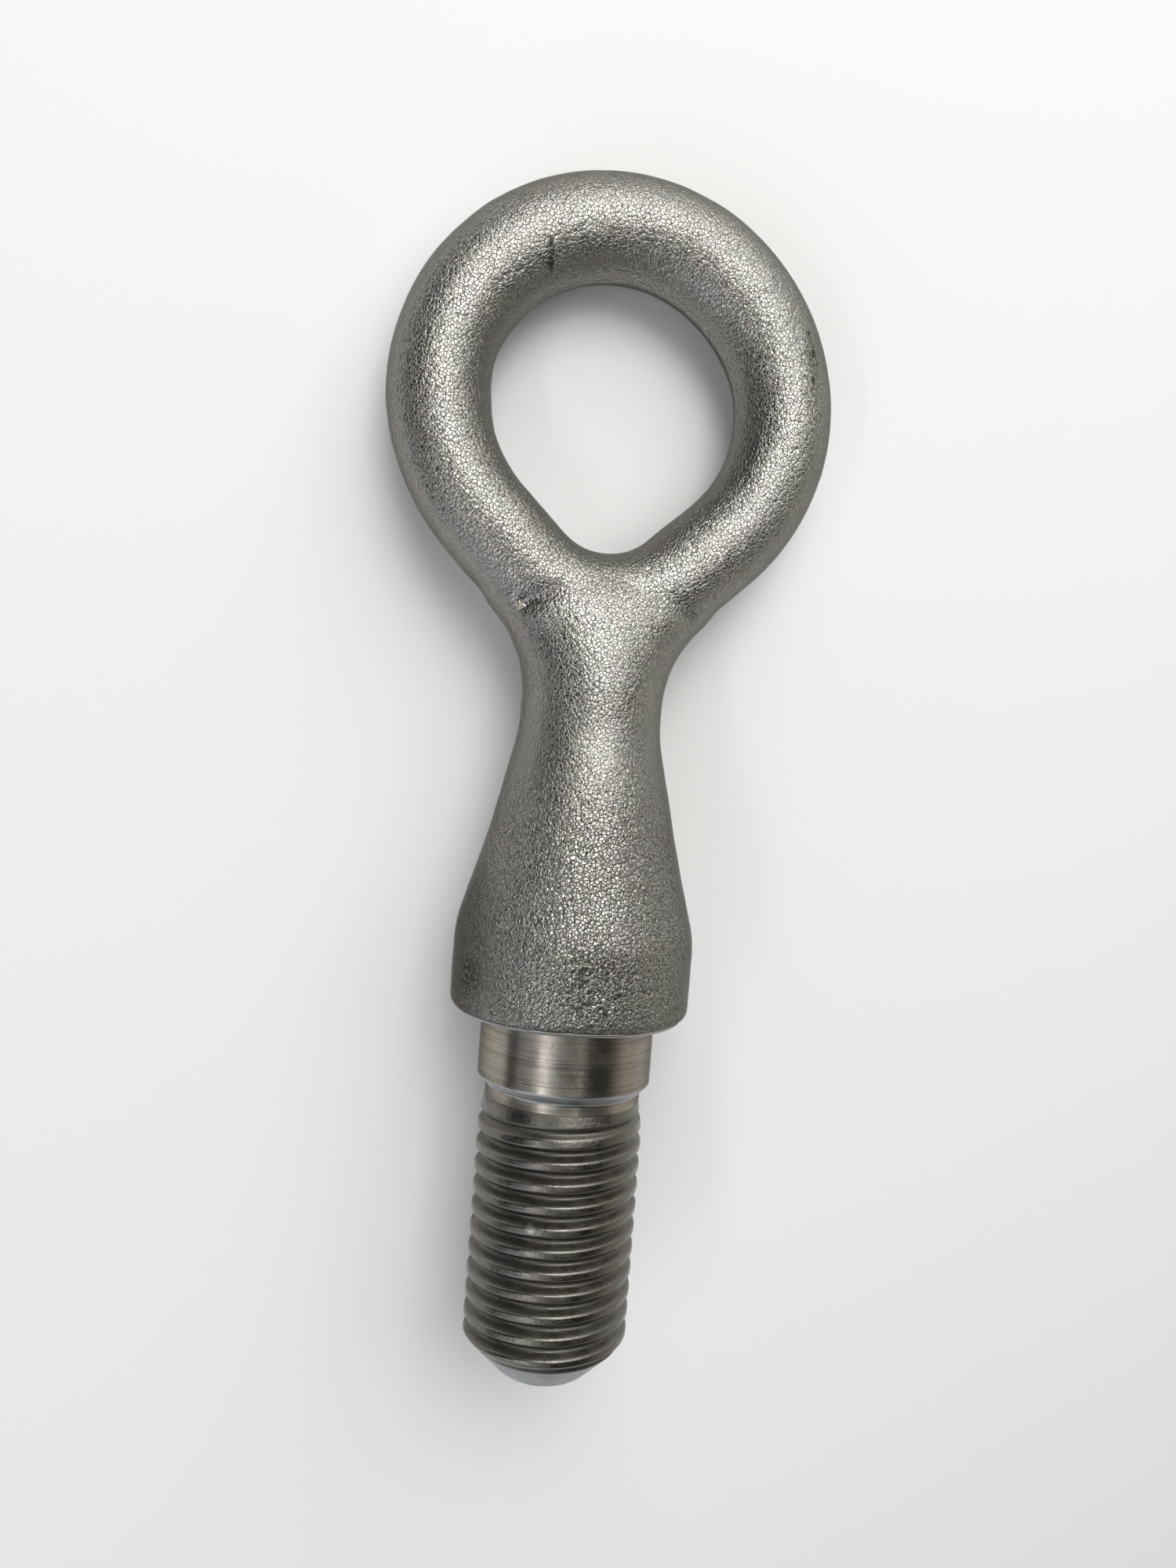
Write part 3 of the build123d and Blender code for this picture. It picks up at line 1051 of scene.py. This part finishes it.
def addWorld():
    world = bpy.data.worlds.new("room")
    world.use_nodes = True
    tree = world.node_tree
    where = addNode(tree, "ShaderNodeTexCoord").outputs["Generated"]
    sideways = vectorCalc(tree, "DOT_PRODUCT", where, tuple(right), "Value")
    rise = addNode(tree, "ShaderNodeSeparateXYZ", {0: where}).outputs["Z"]
    horizon = mixColour(tree, ease(tree, sideways, *room["leftToRight"]), room["left"], room["right"])
    colour = mixColour(tree, ease(tree, rise, *room["lowToHigh"]), horizon, room["overhead"])
    tree.links.new(colour, tree.nodes["Background"].inputs["Color"])
    bpy.context.scene.world = world


# Name, degrees right of and above the view line, distance, width, height, brightness, colour
panels = (
    ("core", 15, 28, 0.60, 0.26, 0.30, 4.6, (1.0, 0.995, 0.98)),
    ("wide", 27, 32, 0.80, 0.95, 1.05, 1.88, (1.0, 0.995, 0.985)),
    ("middle", -3, -14, 0.55, 0.34, 0.2, 0.6, (1.0, 0.98, 0.95)),
    ("stripLeft", -28, -12, 0.55, 0.05, 0.34, 5.5, (1.0, 0.985, 0.96)),
    ("stripRight", 21, -14, 0.55, 0.05, 0.2, 2.5, (1.0, 0.98, 0.95)),
    ("lowLeft", -42, -46, 0.55, 0.52, 0.46, 1.1, (0.88, 0.925, 1.0)),
)


# A soft panel, aimed at the shoulder's underside. Its power is brightness x pi x area.
def addPanel(name, toRight, above, distance, width, height, brightness, colour):
    sideways = math.radians(toRight)
    lift = math.radians(above)
    direction = (
        back * math.cos(sideways) * math.cos(lift)
        + right * math.sin(sideways) * math.cos(lift)
        + upward * math.sin(lift)
    )
    data = bpy.data.lights.new(name, "AREA")
    data.shape = "RECTANGLE"
    data.size = width
    data.size_y = height
    data.energy = brightness * math.pi * width * height
    data.color = colour
    lamp = bpy.data.objects.new(name, data)
    place = Vector(shoulder) + direction * distance
    zAxis = direction.normalized()
    xAxis = upward.cross(zAxis).normalized()
    lamp.matrix_world = standAt(place, xAxis, zAxis.cross(xAxis), zAxis)
    bpy.context.scene.collection.objects.link(lamp)


eyeForging = makeForging()
print("forging:", len(eyeForging.data.polygons), "faces")
eyeShank = makeShank()
print("shank:", len(eyeShank.data.polygons), "faces")

addCamera()
addFloor()
addWorld()
for panel in panels:
    addPanel(*panel)
bpy.context.scene.view_settings.view_transform = "Standard"
print("stage: camera, floor, room and", len(panels), "panels")
